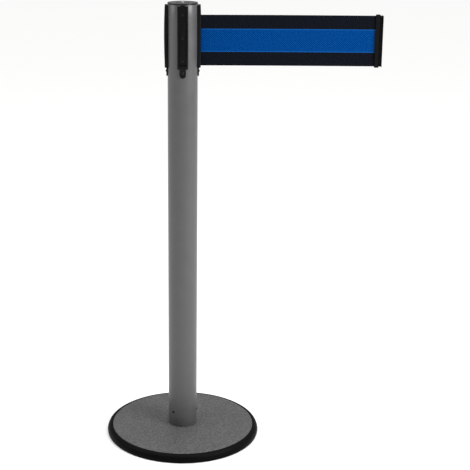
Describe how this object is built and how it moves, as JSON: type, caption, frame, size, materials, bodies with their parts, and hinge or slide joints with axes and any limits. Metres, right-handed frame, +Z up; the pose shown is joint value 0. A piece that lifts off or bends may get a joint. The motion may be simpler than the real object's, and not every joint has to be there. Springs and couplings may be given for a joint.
{
  "type": "retractable belt stanchion",
  "caption": "Crowd control post with a round weighted base, receiver channels round its head and a retractable belt with a contrasting middle stripe.",
  "frame": {"origin": "on the floor, on the post's axis", "axes": "+Z up the post, +X along the belt, -Y towards the front receiver"},
  "size_m": [0.5557, 0.324, 0.9174],
  "materials": {
    "rubber": "moulded black rubber, slightly dusty",
    "cast_iron": "bare cast iron",
    "hammered_grey": "grey hammered powder coat",
    "grey_powder": "smooth grey powder coat",
    "grey_gloss": "glossy grey paint",
    "black_nylon": "moulded black nylon, fine grain",
    "dark_nylon": "moulded dark nylon",
    "black_steel": "black oxide screws",
    "bright_steel": "ground steel",
    "spring_steel": "blued spring strip",
    "zinc": "zinc plated steel",
    "bronze": "sintered bronze bushes",
    "friction": "brake lining",
    "webbing": "woven polyester webbing, black with a blue middle stripe"
  },
  "bodies": {
    "post": {"base_cover": "hammered_grey", "base_ring": "rubber", "base_weight": "cast_iron", "belt_lead": "webbing", "belt_run": "webbing", "brake_drum": "zinc", "cap_screw": "bright_steel", "cassette_base": "dark_nylon", "cassette_lid": "dark_nylon", "clamp_bar_back": "zinc", "clamp_bar_front": "zinc", "clamp_bar_left": "zinc", "floor_pad": "rubber", "foot_plug": "cast_iron", "foot_screw_1": "black_steel", "foot_screw_2": "black_steel", "foot_screw_3": "black_steel", "frame_post_1": "zinc", "frame_post_2": "zinc", "frame_post_3": "zinc", "frame_post_4": "zinc", "head_cap": "grey_gloss", "post_tube": "grey_powder", "power_spring": "spring_steel", "rail_back": "black_nylon", "rail_front": "black_nylon", "rail_left": "black_nylon", "rail_outlet": "black_nylon", "rail_screw_back_1": "black_steel", "rail_screw_back_2": "black_steel", "rail_screw_back_3": "black_steel", "rail_screw_front_1": "black_steel", "rail_screw_front_2": "black_steel", "rail_screw_front_3": "black_steel", "rail_screw_left_1": "black_steel", "rail_screw_left_2": "black_steel", "rail_screw_left_3": "black_steel", "spool_axle": "bright_steel", "tie_bolt": "zinc", "tie_nut": "zinc", "tie_washer": "zinc", "tongue_screw_back": "black_steel", "tongue_screw_front": "black_steel", "tongue_screw_left": "black_steel", "tongue_screw_outlet": "black_steel"},
    "belt_end": {"clip_body": "black_nylon", "clip_pin": "bright_steel"},
    "spool": {"spool": "dark_nylon", "lower_bush": "bronze", "upper_bush": "bronze", "belt_roll": "webbing", "spring_cup": "zinc", "brake_hub": "dark_nylon"},
    "roller_1": {"guide_roller_1": "bright_steel"},
    "roller_2": {"guide_roller_2": "bright_steel"},
    "shoe_1": {"brake_shoe_1": "friction"},
    "shoe_2": {"brake_shoe_2": "friction"},
    "shoe_3": {"brake_shoe_3": "friction"}
  },
  "joints": [
    {"name": "belt_pull", "type": "slide", "parent": "post", "child": "belt_end", "axis": [1, 0, 0], "range_m": [-0.34, 0], "deforming": ["belt_run"]},
    {"name": "spool_spin", "type": "hinge", "parent": "post", "child": "spool", "pos_m": [0, 0, 0.8415], "axis": [0, 0, 1], "range_deg": [-1, 905], "deforming": ["power_spring"]},
    {"name": "roller_1_spin", "type": "hinge", "parent": "post", "child": "roller_1", "pos_m": [0.033, -0.00265, 0.8415], "axis": [0, 0, 1], "continuous": true},
    {"name": "roller_2_spin", "type": "hinge", "parent": "post", "child": "roller_2", "pos_m": [0.033, 0.00265, 0.8415], "axis": [0, 0, 1], "continuous": true},
    {"name": "shoe_1_swing", "type": "hinge", "parent": "spool", "child": "shoe_1", "pos_m": [0.01293, -0.01164, 0.898], "axis": [0, 0, -1], "range_deg": [0, 3.2], "stiffness_Nm_per_rad": 0.01},
    {"name": "shoe_2_swing", "type": "hinge", "parent": "spool", "child": "shoe_2", "pos_m": [0.00362, 0.01702, 0.898], "axis": [0, 0, -1], "range_deg": [0, 3.2], "stiffness_Nm_per_rad": 0.01},
    {"name": "shoe_3_swing", "type": "hinge", "parent": "spool", "child": "shoe_3", "pos_m": [-0.01655, -0.00538, 0.898], "axis": [0, 0, -1], "range_deg": [0, 3.2], "stiffness_Nm_per_rad": 0.01}
  ],
  "couplings": [
    {"joint": "spool_spin", "follows": "belt_pull", "rad_per_m": -46.1}
  ]
}
